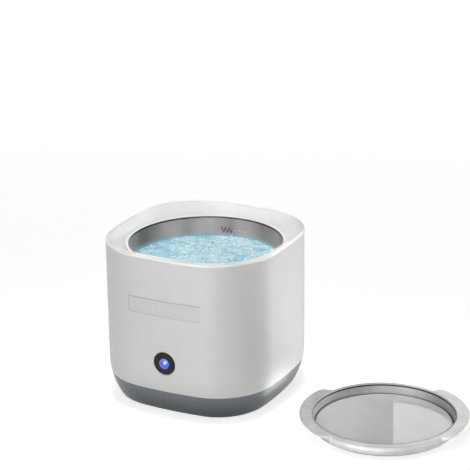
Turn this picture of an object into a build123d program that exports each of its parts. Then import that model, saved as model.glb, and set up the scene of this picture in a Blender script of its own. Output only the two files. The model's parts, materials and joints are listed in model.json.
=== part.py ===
"""Small bench-top ultrasonic cleaner for lenses: housing, tank, transducer, driver, button and lift-off lid.

Millimetres, +Z up. The origin is on the table under the middle of the body, the front with the button
faces -Y, and the lid lies on the table at +X, the way it is put down when it has been taken off.
"""
from build123d import *
import math
import os

# ---- Body: plan and height ----
body_half = 55.0            # half the width and half the depth, at the middle of a side
side_radius = 222.0         # the long sides are bowed to this radius
corner_radius = 37.3
body_height = 100.0         # table to lip
wall = 2.4
split_height = 15.7         # where the housing meets the base
tuck_radius = 45.0          # curve that draws the lower body in
tuck_height = 24.6          # where that curve starts
lip_radius = 2.0            # rounding of the outer lip
lip_flat = 0.6
dish_width = 3.25           # from lip to tank rim, at the middle of a side
dish_depth = 6.7
dish_skin = 2.4             # plate under the dish
dish_hollow = 0.25          # share of the depth at which the dish is half way across
wall_bite = 1.2             # how far ribs, posts and pads run into the wall
past = 1.0                  # how far a cutting shape runs past what it cuts
near = 0.01                 # tolerance when an edge is picked by its height

# ---- Tank ----
rim_gap = 0.25              # between the dish and the tank rim
rim_width = 2.0
rim_stand = 0.6             # rim above the foot of the dish
rim_edge_radius = 0.3
tank_sheet = 0.8
tank_fillet = 8.0
throat_clearance = 0.3      # tank wall to housing throat
gasket_thickness = 0.5
gasket_clearance = 0.1

# ---- Transducer ----
bond_thickness = 0.3
piezo_radius = 22.5
piezo_thickness = 3.0
bond_margin = 1.0

# ---- Base, foot and body screws ----
floor_thickness = 3.2
floor_edge = 0.6            # floor plate inside the foot of the wall
foot_height = 2.0
foot_stand = 1.2            # foot below the base
foot_cover = 0.5            # foot past the edge of each screw recess
foot_clearance = 0.15
tongue_thickness = 1.4
tongue_height = 3.0
tongue_root = 4.0
tongue_clearance = 0.2
screw_inset = 11.7          # screw axis inside the corner of the outline
post_radius = 3.8
boss_radius = 3.6
boss_top = 36.0
rib_thickness = 2.0
screw_shank_radius = 1.45
screw_head_radius = 2.5
screw_head_height = 2.2
screw_length = 18.0
screw_head_seat = 9.0       # height of the shoulder the screw head pulls on
thread_clearance = 0.05
hole_clearance = 0.25
head_rounding = 0.35        # of the head's height, on every screw
recess_floor = 0.4          # of the head's height, under the cross recess
recess_arm = 0.7            # of the head's radius
recess_slot = 0.3           # of the head's radius
label_length = 34.0
label_width = 20.0
label_thickness = 0.4
label_clearance = 0.2

# ---- Badge ----
badge_width = 47.6
badge_height = 10.2
badge_middle = 68.6
badge_recess = 0.5
badge_sink = 0.2            # face of the plate behind the wall's surface
badge_clearance = 0.15
badge_bar_width = 0.9
badge_bar_pitch = 2.2
badge_bar_count = 17
badge_bar_swing = 5.6       # tallest bar
badge_bar_least = 1.6
badge_beat = 1.9            # turn of the swell from one bar to the next, in radians

# ---- Button ----
button_height = 34.0        # axis above the table
button_radius = 6.8
button_clearance = 0.3
button_stand = 0.3          # face in front of the wall
button_edge = 0.4
button_travel = 0.5
button_flange_radius = 8.2
button_flange = 1.0
button_flange_gap = 0.35
hole_chamfer = 0.35
lens_radius = 3.25
lens_dome = 0.9
lens_clearance = 0.05

# ---- Switch board ----
switch_board_width = 34.0
switch_board_height = 18.0
switch_board_thickness = 1.2
switch_board_drop = 1.0     # board middle below the button axis
switch_post_spread = 12.5
switch_post_radius = 2.6
switch_screw_radius = 0.9
switch_screw_head = 1.9
switch_screw_head_height = 1.2
switch_screw_length = 4.6
switch_drop = 6.0           # tactile switch below the button axis
switch_size = 6.0
switch_depth = 3.2
plunger_radius = 1.7
plunger_clearance = 0.2
plunger_length = 1.9
plunger_end_gap = 0.3
led_radius = 1.5
led_depth = 2.6
led_rounding = 1.2

# ---- Power inlet ----
inlet_rise = 0.8            # pad above the base's tongue
inlet_flange_radius = 7.2
inlet_flange = 1.6
inlet_barrel_radius = 5.8
inlet_barrel_length = 13.5
inlet_bore_radius = 3.2
inlet_bore_depth = 10.0
inlet_pin_radius = 1.05
inlet_pin_length = 8.0
inlet_pin_tip = 0.6
inlet_pad = 2.0             # pad behind the wall
inlet_pad_radius = 9.5
inlet_nut_radius = 8.3
inlet_nut_thickness = 2.5
inlet_clearance = 0.1
inlet_tab_spread = 2.5
inlet_tab_length = 3.0
inlet_tab_size = 1.8

# ---- Driver board ----
board_width = 72.0
board_depth = 50.0
board_thickness = 1.6
board_stand = 4.6
edge_inset = 4.0            # fuse and cable sockets, from the edge of the board
part_gap = 1.0              # between neighbours on the board
board_screw_inset = 4.0
standoff_radius = 3.0
board_screw_radius = 1.1
board_screw_head = 2.2
board_screw_head_height = 1.4
board_screw_length = 5.2
board_screw_room = 0.5      # hole below the screw's end
sink_x = -28.5
sink_clearance = 0.8        # sink to the heads of the board's screws
sink_height = 22.0
sink_plate = 3.0
sink_fin_length = 6.0
sink_fin_thickness = 1.2
sink_fin_count = 6
transistor_spread = 9.0
transistor_width = 10.0
transistor_depth = 4.5
transistor_height = 15.0
transistor_lift = 3.4
transistor_leg = 0.7
transistor_leg_pitch = 2.54
core_x = 4.0
core_width = 26.0
core_depth = 8.0
core_height = 21.0
core_clearance = 4.0        # core to the transducer above it
core_yoke = 3.6
core_leg = 7.6
bobbin_base = 2.2
bobbin_wall = 0.7
bobbin_margin = 1.0
winding_build = 4.4
winding_clearance = 0.1
cap_radius = 5.0
cap_height = 17.0
cap_rounding = 0.6
cap_x = 26.5
cap_front_y = -1.0
cap_pitch = 12.0
film_x = -10.5
film_pitch = 14.0
film_length = 13.0
film_depth = 6.0
film_height = 11.0
film_rounding = 0.7
chip_x = 16.0
chip_length = 8.6
chip_width = 3.9
chip_height = 1.5
fuse_x = -14.0
fuse_radius = 2.6
fuse_length = 14.0
fuse_cap = 4.0
fuse_clip = 0.5
socket_pitch = 2.5
socket_depth = 5.8
socket_height = 6.4
socket_floor = 1.4
socket_wall = 0.8
plug_clearance = 0.1
plug_stand = 1.6            # plug above its socket
switch_ways = 4
supply_ways = 2
drive_socket_x = 27.0

# ---- Leads ----
lead_radius = 0.6
lead_bend = 2.0
power_lead_straight = 4.0
drive_lead_step = 3.6       # one drive lead runs above the other
piezo_tap_radius = 18.5
piezo_tap_angles = (-35.0, -55.0)

# ---- Lid ----
lid_clearance = 1.0         # lid skirt to tank wall
lid_height = 8.0
lid_sheet = 0.7
lid_flange = 4.0            # flat ring between the well and the skirt
lid_draft = 0.9
lid_skirt = 5.1
lid_edge_radius = 2.0       # outside of the bend from flange to skirt
lid_ledge = 3.5
ear_overhang = 1.1          # ears past the tank rim
ear_half_width = 34.0
ear_corner_radius = 7.0
ear_turn = 24.5             # the ears' axis, turned from +X where the lid lies
window_thickness = 1.0
window_clearance = 0.2
window_seal = 0.3
lid_gap = 17.1              # body to ear, with the lid put down
lid_forward = 10.3

# ---- Places that follow from the sizes above ----
base_bottom = foot_stand
floor_top = base_bottom + floor_thickness
crest_inset = lip_radius + lip_flat
dish_radius = body_half - crest_inset - dish_width
dish_floor = body_height - dish_depth
rim_radius = dish_radius - rim_gap
tank_radius = rim_radius - rim_width
tank_outer_radius = tank_radius + tank_sheet
rim_top = dish_floor + rim_stand
rim_under = rim_top - tank_sheet
seat_height = rim_under - gasket_thickness
throat_radius = tank_outer_radius + throat_clearance
side_middle = body_half - side_radius
arc_difference = side_radius - corner_radius
corner_middle = (side_middle + math.sqrt(2 * arc_difference ** 2 - side_middle ** 2)) / 2
corner_reach = math.sqrt(2) * corner_middle + corner_radius
screw_reach = corner_reach - screw_inset
screw_places = [(sx * screw_reach / math.sqrt(2), sy * screw_reach / math.sqrt(2))
                for sx in (-1, 1) for sy in (-1, 1)]
recess_radius = screw_head_radius + hole_clearance
foot_width = 2 * (recess_radius + foot_cover)
foot_inset = screw_inset - foot_width / 2
inner_front = body_half - wall                      # inside face of a wall, at the middle of a side
board_under = floor_top + board_stand
board_top = board_under + board_thickness
piezo_under = board_top + bobbin_base + core_height + core_clearance
piezo_top = piezo_under + piezo_thickness
tank_under = piezo_top + bond_thickness
tank_floor = tank_under + tank_sheet
board_screw_places = [(sx * (board_width / 2 - board_screw_inset), sy * (board_depth / 2 - board_screw_inset))
                      for sx in (-1, 1) for sy in (-1, 1)]
sink_length = board_depth - 2 * (board_screw_inset + board_screw_head + sink_clearance)
edge_row = board_depth / 2 - edge_inset
bobbin_half_depth = core_depth / 2 + bobbin_wall + winding_build + bobbin_margin
core_y = edge_row - socket_depth / 2 - part_gap - bobbin_half_depth
film_y = core_y - bobbin_half_depth - part_gap - film_depth / 2
drive_socket_y = (supply_ways + 1) * socket_pitch / 2 + part_gap + board_screw_head - edge_row
flange_front = inner_front - button_flange_gap      # distances from the centre, along -Y
flange_back = flange_front - button_flange
switch_face = flange_back - (plunger_length - button_travel - plunger_end_gap - plunger_clearance)
switch_board_front = switch_face - switch_depth
switch_board_back = switch_board_front - switch_board_thickness
plug_top = board_top + socket_height + plug_stand
inlet_height = split_height + tongue_height + inlet_rise + inlet_pad_radius
inlet_seat = body_half - inlet_flange
inlet_back = inlet_seat - inlet_barrel_length
lid_skirt_radius = tank_radius - lid_clearance
lid_well_radius = lid_skirt_radius - lid_flange
lid_floor_radius = lid_well_radius - lid_draft
ear_radius = rim_radius + ear_overhang
lid_x = body_half + lid_gap + ear_radius
lid_y = -lid_forward


# ---- Shapes used by several sub-parts ----
def box(x0, x1, y0, y1, z0, z1):
    return Pos(x0, y0, z0) * Box(x1 - x0, y1 - y0, z1 - z0, align=(Align.MIN, Align.MIN, Align.MIN))


def rod(radius, z0, z1, x=0.0, y=0.0):
    """Upright round bar."""
    return Pos(x, y, z0) * Cylinder(radius, z1 - z0, align=(Align.CENTER, Align.CENTER, Align.MIN))


def rod_y(radius, y0, y1, x, z):
    """Round bar along +Y."""
    return Pos(x, y0, z) * Rot(-90, 0, 0) * rod(radius, 0, y1 - y0)


def pipe(outer, inner, z0, z1):
    return rod(outer, z0, z1) - rod(inner, z0, z1)


def spin(face):
    """Turn a face drawn on the XZ plane once round Z."""
    return revolve(face, axis=Axis.Z, revolution_arc=360)


def quarter_turn(x, y, quarters, z):
    c, s = ((1, 0), (0, 1), (-1, 0), (0, -1))[quarters]
    return x * c - y * s, x * s + y * c, z


def bowed_square(half, reach, bow, z):
    """Closed wire with four sides bowed to radius bow and round corners.

    half is centre to side, reach is centre to corner. The arcs meet without a kink.
    """
    side_c = half - bow
    spread = bow - reach
    corner_c = (side_c ** 2 - spread ** 2) / (2 * side_c + 2 * math.sqrt(2) * spread)
    length = math.hypot(corner_c - side_c, corner_c)
    joint_x = side_c + (corner_c - side_c) * bow / length
    joint_y = corner_c * bow / length
    tip = reach / math.sqrt(2)
    arcs = []
    for n in range(4):
        start = quarter_turn(joint_x, -joint_y, n, z)
        turn_in = quarter_turn(joint_x, joint_y, n, z)
        turn_out = quarter_turn(joint_y, joint_x, n, z)
        arcs.append(Edge.make_three_point_arc(start, quarter_turn(half, 0, n, z), turn_in))
        arcs.append(Edge.make_three_point_arc(turn_in, quarter_turn(tip, tip, n, z), turn_out))
    return Wire(arcs)


def outline(inset, z):
    """The body's outline, moved inwards by inset."""
    return bowed_square(body_half - inset, corner_reach - inset, side_radius - inset, z)


def split_circle(radius, z):
    """A circle cut in eight where the body's outline changes from side to corner."""
    joint = math.atan2(corner_middle, corner_middle - side_middle)
    joint_x, joint_y = side_middle + side_radius * math.cos(joint), side_radius * math.sin(joint)
    a = math.atan2(joint_y, joint_x)
    arcs = []
    for n in range(4):
        base = n * math.pi / 2
        for low, high in ((-a, a), (a, math.pi / 2 - a)):
            places = [(radius * math.cos(base + t), radius * math.sin(base + t), z)
                      for t in (low, (low + high) / 2, high)]
            arcs.append(Edge.make_three_point_arc(*places))
    return Wire(arcs)


def slab(inset, z0, z1):
    return extrude(Face(outline(inset, z0)), amount=z1 - z0, dir=(0, 0, 1))


def tuck(z):
    """How far the lower body is drawn in at height z."""
    if z >= tuck_height:
        return 0.0
    return tuck_radius - math.sqrt(tuck_radius ** 2 - (tuck_height - z) ** 2)


def outline_path():
    """The body's outline at the origin's height, from the middle of the +X side round to it again."""
    whole = outline(0, 0).edges()
    first = whole.sort_by(Axis.X)[-1]
    rest = [edge for edge in whole if not edge.is_same(first)]
    halves = [first.trim(0, 0.5), first.trim(0.5, 1)]
    return Wire(halves + rest)


def sweep_round(face):
    """Carry a face drawn on the XZ plane, at X = body_half less its inset, round the outline."""
    return sweep(face, path=outline_path())


def curved_wall(z0, z1, thickness):
    """Face of the drawn-in lower wall between two heights, both below tuck_height."""
    mid = (z0 + z1) / 2
    outer = [(body_half - tuck(z), 0, z) for z in (z0, mid, z1)]
    inner = [(x - thickness, 0, z) for x, _, z in outer]
    edges = [Edge.make_three_point_arc(*outer), Edge.make_line(outer[2], inner[2]),
             Edge.make_three_point_arc(*inner), Edge.make_line(inner[0], outer[0])]
    return Face(Wire(edges))


def socket_screw(shank_radius, length, head_radius, head_height, x, y, z, up):
    """Cross-head screw; z is the underside of its head, and up tells which way the head points."""
    shank = rod(shank_radius, -length, 0)
    head = fillet(rod(head_radius, 0, head_height).edges().sort_by(Axis.Z)[-1], head_height * head_rounding)
    half = head_radius * recess_slot / 2
    arm = head_radius * recess_arm
    low = head_height * recess_floor
    cross = box(-arm, arm, -half, half, low, head_height) + box(-half, half, -arm, arm, low, head_height)
    return Pos(x, y, z) * Rot(0 if up else 180, 0, 0) * (shank + head - cross)


def lead(points):
    """Insulated wire along straight runs joined by tangent arcs."""
    path = FilletPolyline(*points, radius=lead_bend)
    section = Plane(origin=path @ 0, z_dir=path % 0) * Circle(lead_radius)
    return sweep(section, path=path)


# ---- Housing and base ----
def dish(drop=0.0):
    """The space above the dished top, moved down by drop."""
    lip_half = body_half - crest_inset
    lip_reach = corner_reach - crest_inset
    half = (dish_radius + lip_half) / 2
    reach = (dish_radius + lip_reach) / 2
    bow = 2 / (1 / dish_radius + 1 / (side_radius - crest_inset))
    low = dish_floor - drop
    top = body_height - drop
    middle = low + dish_depth * dish_hollow
    return loft([Face(split_circle(dish_radius, low)), Face(bowed_square(half, reach, bow, middle)),
                 Face(outline(crest_inset, top))])


def housing_wall():
    """Face of the housing's side wall, from the split to the rounded lip."""
    x = body_half
    low = split_height
    mid = (low + tuck_height) / 2
    top = body_height
    quarter = lip_radius * (1 - math.sqrt(0.5))
    outer = [(x - tuck(z), 0, z) for z in (low, mid, tuck_height)]
    inner = [(px - wall, 0, pz) for px, _, pz in outer]
    edges = [
        Edge.make_three_point_arc(*outer),
        Edge.make_line(outer[2], (x, 0, top - lip_radius)),
        Edge.make_three_point_arc((x, 0, top - lip_radius), (x - quarter, 0, top - quarter),
                                  (x - lip_radius, 0, top)),
        Edge.make_line((x - lip_radius, 0, top), (x - wall, 0, top)),
        Edge.make_line((x - wall, 0, top), inner[2]),
        Edge.make_three_point_arc(inner[2], inner[1], inner[0]),
        Edge.make_line(inner[0], outer[0]),
    ]
    return Face(Wire(edges))


def badge_band(inset, depth, width, height, middle):
    """A piece of the skin between two insets, as wide and high as stated, on the front wall."""
    low, high = middle - height / 2, middle + height / 2
    skin = slab(inset, low, high) - slab(inset + depth, low, high)
    return skin & box(-width / 2, width / 2, -body_half - past, 0, low, high)


def upper_housing():
    under = dish_floor - dish_skin
    plate = slab(lip_radius, under, body_height)
    hollow = slab(wall, under, body_height - dish_skin - lip_flat - lip_radius / 2) - dish(dish_skin)
    shell = sweep_round(housing_wall()) + (plate - hollow)
    shell -= dish()
    shell -= rod(throat_radius, under - past, body_height)
    shell -= rod(dish_radius - rim_gap / 2, seat_height, body_height)
    for x, y in screw_places:
        boss = rod(boss_radius, split_height, boss_top, x, y)
        angle = math.degrees(math.atan2(y, x))
        rib_low = split_height + tongue_height + tongue_clearance
        half = rib_thickness / 2
        rib = box(screw_reach, corner_reach - wall_bite, -half, half, rib_low, boss_top)
        shell += boss + Rot(0, 0, angle) * rib
        shell -= rod(screw_shank_radius + thread_clearance, split_height, boss_top - wall, x, y)
    shell -= badge_band(-past, past + badge_recess, badge_width, badge_height, badge_middle)
    shell -= rod_y(button_radius + button_clearance, -body_half - past, -inner_front + past, 0, button_height)
    hole = button_radius + button_clearance
    lead_in = Cone(hole, hole + 2 * hole_chamfer, 2 * hole_chamfer)
    shell -= Pos(0, -body_half, button_height) * Rot(90, 0, 0) * lead_in
    thread = switch_screw_radius + thread_clearance
    for x in (-switch_post_spread, switch_post_spread):
        shell += rod_y(switch_post_radius, -inner_front - wall_bite, -switch_board_front, x, button_height)
        shell -= rod_y(thread, -inner_front, -switch_board_front, x, button_height)
    shell += rod_y(inlet_pad_radius, inner_front - inlet_pad, inner_front + wall_bite, 0, inlet_height)
    shell -= rod_y(inlet_flange_radius + inlet_clearance, inlet_seat, body_half + past, 0, inlet_height)
    pad_face = inner_front - inlet_pad
    shell -= rod_y(inlet_barrel_radius + inlet_clearance, pad_face - past, body_half, 0, inlet_height)
    return shell


def base_shell():
    shell = sweep_round(curved_wall(base_bottom, split_height, wall))
    shell += slab(tuck(base_bottom) + floor_edge, base_bottom, floor_top)
    tongue_inset = tuck(split_height) + wall + tongue_clearance
    tongue_low = split_height - tongue_root
    tongue_top = split_height + tongue_height
    tongue = slab(tongue_inset, tongue_low, tongue_top)
    shell += tongue - slab(tongue_inset + tongue_thickness, tongue_low, tongue_top)
    for x, y in screw_places:
        shell += rod(post_radius, floor_top, split_height, x, y)
        shell -= rod(recess_radius, base_bottom, screw_head_seat, x, y)
        shell -= rod(screw_shank_radius + hole_clearance, screw_head_seat, split_height, x, y)
    for x, y in board_screw_places:
        shell += rod(standoff_radius, floor_top, board_under, x, y)
        hole_low = board_top - board_screw_length - board_screw_room
        shell -= rod(board_screw_radius + thread_clearance, hole_low, board_under, x, y)
    groove_end = foot_inset + foot_width
    shell -= slab(foot_inset, base_bottom, foot_height) - slab(groove_end, base_bottom, foot_height)
    shell -= box(-label_length / 2, label_length / 2, -label_width / 2, label_width / 2,
                 base_bottom, base_bottom + label_thickness)
    return shell


def foot_ring():
    outer = foot_inset + foot_clearance
    inner = foot_inset + foot_width - foot_clearance
    return slab(outer, 0, foot_height) - slab(inner, 0, foot_height)


def base_screws():
    return [socket_screw(screw_shank_radius, screw_length, screw_head_radius, screw_head_height,
                         x, y, screw_head_seat, False) for x, y in screw_places]


def blank_label():
    half_x = label_length / 2 - label_clearance
    half_y = label_width / 2 - label_clearance
    return box(-half_x, half_x, -half_y, half_y, base_bottom, base_bottom + label_thickness)


def badge_plate():
    """Plain plate with upright bars in a swell pattern, like the trace of a sound wave."""
    width = badge_width - 2 * badge_clearance
    height = badge_height - 2 * badge_clearance
    plate = badge_band(badge_sink, badge_recess - badge_sink, width, height, badge_middle)
    first = -(badge_bar_count - 1) / 2
    for n in range(badge_bar_count):
        x = (first + n) * badge_bar_pitch
        swell = abs(math.sin(math.pi * (n + 0.5) / badge_bar_count) * math.cos(badge_beat * n))
        bar_height = badge_bar_least + (badge_bar_swing - badge_bar_least) * swell
        bar = badge_band(0, badge_recess, width, bar_height, badge_middle)
        half = badge_bar_width / 2
        plate += bar & box(x - half, x + half, -body_half - past, 0, 0, body_height)
    return plate


# ---- Tank and transducer ----
def tank():
    outer = rod(tank_outer_radius, tank_under, rim_top)
    outer = fillet(outer.edges().sort_by(Axis.Z)[0], tank_fillet + tank_sheet)
    inner = rod(tank_radius, tank_floor, rim_top + past)
    inner = fillet(inner.edges().sort_by(Axis.Z)[0], tank_fillet)
    cup = outer + rod(rim_radius, rim_under, rim_top) - inner
    rim_edges = cup.edges().filter_by_position(Axis.Z, rim_top - near, rim_top + near)
    return fillet(rim_edges, rim_edge_radius)


def tank_gasket():
    return pipe(rim_radius - gasket_clearance, throat_radius + gasket_clearance, seat_height, rim_under)


def bond_layer():
    return rod(piezo_radius + bond_margin, piezo_top, tank_under)


def piezo_disc():
    return rod(piezo_radius, piezo_under, piezo_top)


# ---- Button and switch ----
def button_cap():
    front = body_half + button_stand
    body = rod_y(button_radius, -front, -flange_back, 0, button_height)
    body = fillet(body.edges().sort_by(Axis.Y)[0], button_edge)
    cap = body + rod_y(button_flange_radius, -flange_front, -flange_back, 0, button_height)
    return cap - rod_y(lens_radius + lens_clearance, -front - past, -flange_back + past, 0, button_height)


def button_lens():
    front = body_half + button_stand
    stem = rod_y(lens_radius, -front, -flange_back, 0, button_height)
    dome_radius = (lens_radius ** 2 + lens_dome ** 2) / (2 * lens_dome)
    ball = Pos(0, -front - lens_dome + dome_radius, button_height) * Sphere(dome_radius)
    dome = ball & rod_y(lens_radius, -front - lens_dome - past, -front, 0, button_height)
    return stem + dome


def switch_plunger():
    return rod_y(plunger_radius, -flange_back, -flange_back + plunger_length, 0, button_height - switch_drop)


def tactile_switch():
    z = button_height - switch_drop
    half = switch_size / 2
    body = box(-half, half, -switch_face, -switch_board_front, z - half, z + half)
    pocket_end = -flange_back + plunger_length + button_travel + plunger_end_gap
    return body - rod_y(plunger_radius + plunger_clearance, -switch_face, pocket_end, 0, z)


def switch_board():
    middle = button_height - switch_board_drop
    half_x, half_z = switch_board_width / 2, switch_board_height / 2
    board = box(-half_x, half_x, -switch_board_front, -switch_board_back, middle - half_z, middle + half_z)
    for side in (-1, 1):
        board -= rod_y(switch_screw_radius + hole_clearance, -switch_board_front, -switch_board_back,
                       side * switch_post_spread, button_height)
    return board


def switch_board_screws():
    screw = socket_screw(switch_screw_radius, switch_screw_length, switch_screw_head,
                         switch_screw_head_height, 0, 0, 0, True)
    return [Pos(side * switch_post_spread, -switch_board_back, button_height) * Rot(-90, 0, 0) * screw
            for side in (-1, 1)]


def status_led():
    body = rod_y(led_radius, -switch_board_front - led_depth, -switch_board_front, 0, button_height)
    return fillet(body.edges().sort_by(Axis.Y)[0], led_rounding)


# ---- Power inlet ----
def inlet_body():
    flange_face = body_half - inlet_clearance
    body = rod_y(inlet_flange_radius, inlet_seat, flange_face, 0, inlet_height)
    body += rod_y(inlet_barrel_radius, inlet_back, inlet_seat, 0, inlet_height)
    bore_end = flange_face - inlet_bore_depth
    return body - rod_y(inlet_bore_radius, bore_end, flange_face + past, 0, inlet_height)


def inlet_pin():
    bottom = body_half - inlet_clearance - inlet_bore_depth
    pin = rod_y(inlet_pin_radius, bottom, bottom + inlet_pin_length, 0, inlet_height)
    return fillet(pin.edges().sort_by(Axis.Y)[-1], inlet_pin_tip)


def inlet_nut():
    seat = inner_front - inlet_pad
    flats = RegularPolygon(inlet_nut_radius, 6)
    nut = extrude(Plane(origin=(0, seat, inlet_height), z_dir=(0, -1, 0)) * flats, amount=inlet_nut_thickness)
    hole = inlet_barrel_radius + inlet_clearance
    return nut - rod_y(hole, seat - inlet_nut_thickness, seat, 0, inlet_height)


def inlet_tabs():
    half = inlet_tab_size / 2
    return [box(x - half, x + half, inlet_back - inlet_tab_length, inlet_back,
                inlet_height - half, inlet_height + half) for x in (-inlet_tab_spread, inlet_tab_spread)]


# ---- Driver board and what it carries ----
def block_on_board(x, y, length, depth, height):
    return box(x - length / 2, x + length / 2, y - depth / 2, y + depth / 2, board_top, board_top + height)


def driver_board():
    board = box(-board_width / 2, board_width / 2, -board_depth / 2, board_depth / 2, board_under, board_top)
    for x, y in board_screw_places:
        board -= rod(board_screw_radius + hole_clearance, board_under, board_top, x, y)
    return board


def board_screws():
    return [socket_screw(board_screw_radius, board_screw_length, board_screw_head, board_screw_head_height,
                         x, y, board_top, True) for x, y in board_screw_places]


def heat_sink():
    """Extruded plate with upright fins that point away from the transistors."""
    half = sink_length / 2
    top = board_top + sink_height
    face = sink_x + sink_fin_length / 2
    sink = box(face, face + sink_plate, -half, half, board_top, top)
    pitch = (sink_length - sink_fin_thickness) / (sink_fin_count - 1)
    for n in range(sink_fin_count):
        y = -half + n * pitch
        sink += box(face - sink_fin_length, face, y, y + sink_fin_thickness, board_top, top)
    return sink


def power_transistors():
    face = sink_x + sink_fin_length / 2 + sink_plate
    low = board_top + transistor_lift
    leg_x = face + transistor_depth / 2
    half = transistor_leg / 2
    pieces = []
    for y in (-transistor_spread, transistor_spread):
        body = box(face, face + transistor_depth, y - transistor_width / 2, y + transistor_width / 2,
                   low, low + transistor_height)
        for n in (-1, 0, 1):
            leg_y = y + n * transistor_leg_pitch
            body += box(leg_x - half, leg_x + half, leg_y - half, leg_y + half, board_top, low)
        pieces.append(body)
    return pieces


def transformer_core():
    low = board_top + bobbin_base
    window = (core_width - core_leg) / 2 - core_yoke
    x0 = core_x - core_width / 2
    y0, y1 = core_y - core_depth / 2, core_y + core_depth / 2
    core = box(x0, x0 + core_width, y0, y1, low, low + core_height)
    for start in (x0 + core_yoke, x0 + core_width - core_yoke - window):
        core -= box(start, start + window, y0, y1, low + core_yoke, low + core_height - core_yoke)
    return core


def around_leg(margin_in, margin_out, z0, z1):
    """Square tube round the core's middle leg, between two distances from the leg."""
    tube = []
    for margin in (margin_out, margin_in):
        half_x, half_y = core_leg / 2 + margin, core_depth / 2 + margin
        tube.append(box(core_x - half_x, core_x + half_x, core_y - half_y, core_y + half_y, z0, z1))
    return tube[0] - tube[1]


def transformer_bobbin():
    """Foot under the core, and the former that the winding is wound on."""
    low = board_top + bobbin_base
    foot = block_on_board(core_x, core_y, core_width + 2 * bobbin_margin, 2 * bobbin_half_depth, bobbin_base)
    former = around_leg(winding_clearance, winding_clearance + bobbin_wall, low + core_yoke,
                        low + core_height - core_yoke)
    cheeks = []
    for side in (-1, 1):
        near = core_y + side * (core_depth / 2 + winding_clearance)
        far = near + side * bobbin_wall
        cheeks.append(box(core_x - core_leg / 2, core_x + core_leg / 2, min(near, far), max(near, far),
                          low, low + core_yoke))
    return foot + former + cheeks[0] + cheeks[1]


def transformer_winding():
    low = board_top + bobbin_base + core_yoke + winding_clearance
    high = board_top + bobbin_base + core_height - core_yoke - winding_clearance
    inner = winding_clearance + bobbin_wall + winding_clearance
    winding = around_leg(inner, inner + winding_build, low, high)
    corners = winding.edges().filter_by(Axis.Z).sort_by_distance((core_x, core_y, low))[-4:]
    return fillet(corners, winding_build / 2)


def supply_capacitors():
    pieces = []
    for n in range(2):
        can = rod(cap_radius, board_top, board_top + cap_height, cap_x, cap_front_y + n * cap_pitch)
        pieces.append(fillet(can.edges().sort_by(Axis.Z)[-1], cap_rounding))
    return pieces


def film_capacitors():
    pieces = []
    for n in range(2):
        block = block_on_board(film_x + n * film_pitch, film_y, film_length, film_depth, film_height)
        pieces.append(fillet(block.edges().filter_by(Axis.Z), film_rounding))
    return pieces


def controller_chip():
    return block_on_board(chip_x, film_y, chip_length, chip_width, chip_height)


def fuse_height():
    return board_top + fuse_clip + fuse_radius


def fuse_clips():
    """Two open clips that grip the end caps of the fuse."""
    pieces = []
    outer = fuse_radius + fuse_clip
    for side in (-1, 1):
        near = fuse_x + side * fuse_length / 2
        far = near - side * fuse_cap
        x0, x1 = min(near, far), max(near, far)
        block = box(x0, x1, -edge_row - outer, -edge_row + outer, board_top, fuse_height())
        cut = Pos(x0, -edge_row, fuse_height()) * Rot(0, 90, 0) * Cylinder(
            fuse_radius, x1 - x0, align=(Align.CENTER, Align.CENTER, Align.MIN))
        pieces.append(block - cut)
    return pieces


def fuse():
    return Pos(fuse_x, -edge_row, fuse_height()) * Rot(0, 90, 0) * Cylinder(fuse_radius, fuse_length)


def socket_spans():
    """Middle of each socket, number of ways, and whether its row runs along Y."""
    return [(0.0, edge_row, supply_ways, False), (0.0, -edge_row, switch_ways, False),
            (drive_socket_x, drive_socket_y, supply_ways, True)]


def board_sockets():
    pieces = []
    for x, y, ways, along_y in socket_spans():
        half_row = (ways + 1) * socket_pitch / 2
        half_deep = socket_depth / 2
        half_x, half_y = (half_deep, half_row) if along_y else (half_row, half_deep)
        body = block_on_board(x, y, 2 * half_x, 2 * half_y, socket_height)
        inner_x, inner_y = half_x - socket_wall, half_y - socket_wall
        body -= box(x - inner_x, x + inner_x, y - inner_y, y + inner_y,
                    board_top + socket_floor, board_top + socket_height)
        pieces.append(body)
    return pieces


def lead_plugs():
    pieces = []
    for x, y, ways, along_y in socket_spans():
        half_row = (ways + 1) * socket_pitch / 2 - socket_wall - plug_clearance
        half_deep = socket_depth / 2 - socket_wall - plug_clearance
        half_x, half_y = (half_deep, half_row) if along_y else (half_row, half_deep)
        pieces.append(box(x - half_x, x + half_x, y - half_y, y + half_y, board_top + socket_floor, plug_top))
    return pieces


def row_places(ways):
    """Places of a socket's contacts along its row."""
    return [(n - (ways - 1) / 2) * socket_pitch for n in range(ways)]


def power_leads():
    start = inlet_back - inlet_tab_length
    pieces = []
    for x, tab_x in zip(row_places(supply_ways), (-inlet_tab_spread, inlet_tab_spread)):
        pieces.append(lead([(tab_x, start, inlet_height), (tab_x, start - power_lead_straight, inlet_height),
                            (x, edge_row, inlet_height), (x, edge_row, plug_top)]))
    return pieces


def switch_leads():
    z = button_height - switch_board_drop - switch_board_height / 2 + 2 * lead_radius
    return [lead([(x, -switch_board_back, z), (x, -edge_row, z), (x, -edge_row, plug_top)])
            for x in row_places(switch_ways)]


def drive_leads():
    """From the driver's plug to the two faces of the piezo disc, both reached from below."""
    pieces = []
    for row, angle in zip(row_places(supply_ways), piezo_tap_angles):
        plug_y = drive_socket_y - row
        end_x = piezo_tap_radius * math.cos(math.radians(angle))
        end_y = piezo_tap_radius * math.sin(math.radians(angle))
        level = (plug_top + piezo_under) / 2 - row * drive_lead_step / socket_pitch
        pieces.append(lead([(drive_socket_x, plug_y, plug_top), (drive_socket_x, plug_y, level),
                            (end_x, end_y, level), (end_x, end_y, piezo_under)]))
    return pieces


# ---- Lid ----
def place_lid(piece):
    return Pos(lid_x, lid_y, 0) * Rot(0, 0, ear_turn) * piece


def profile(points):
    return Face(Wire.make_polygon([(x, 0, z) for x, z in points], close=True))


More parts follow.
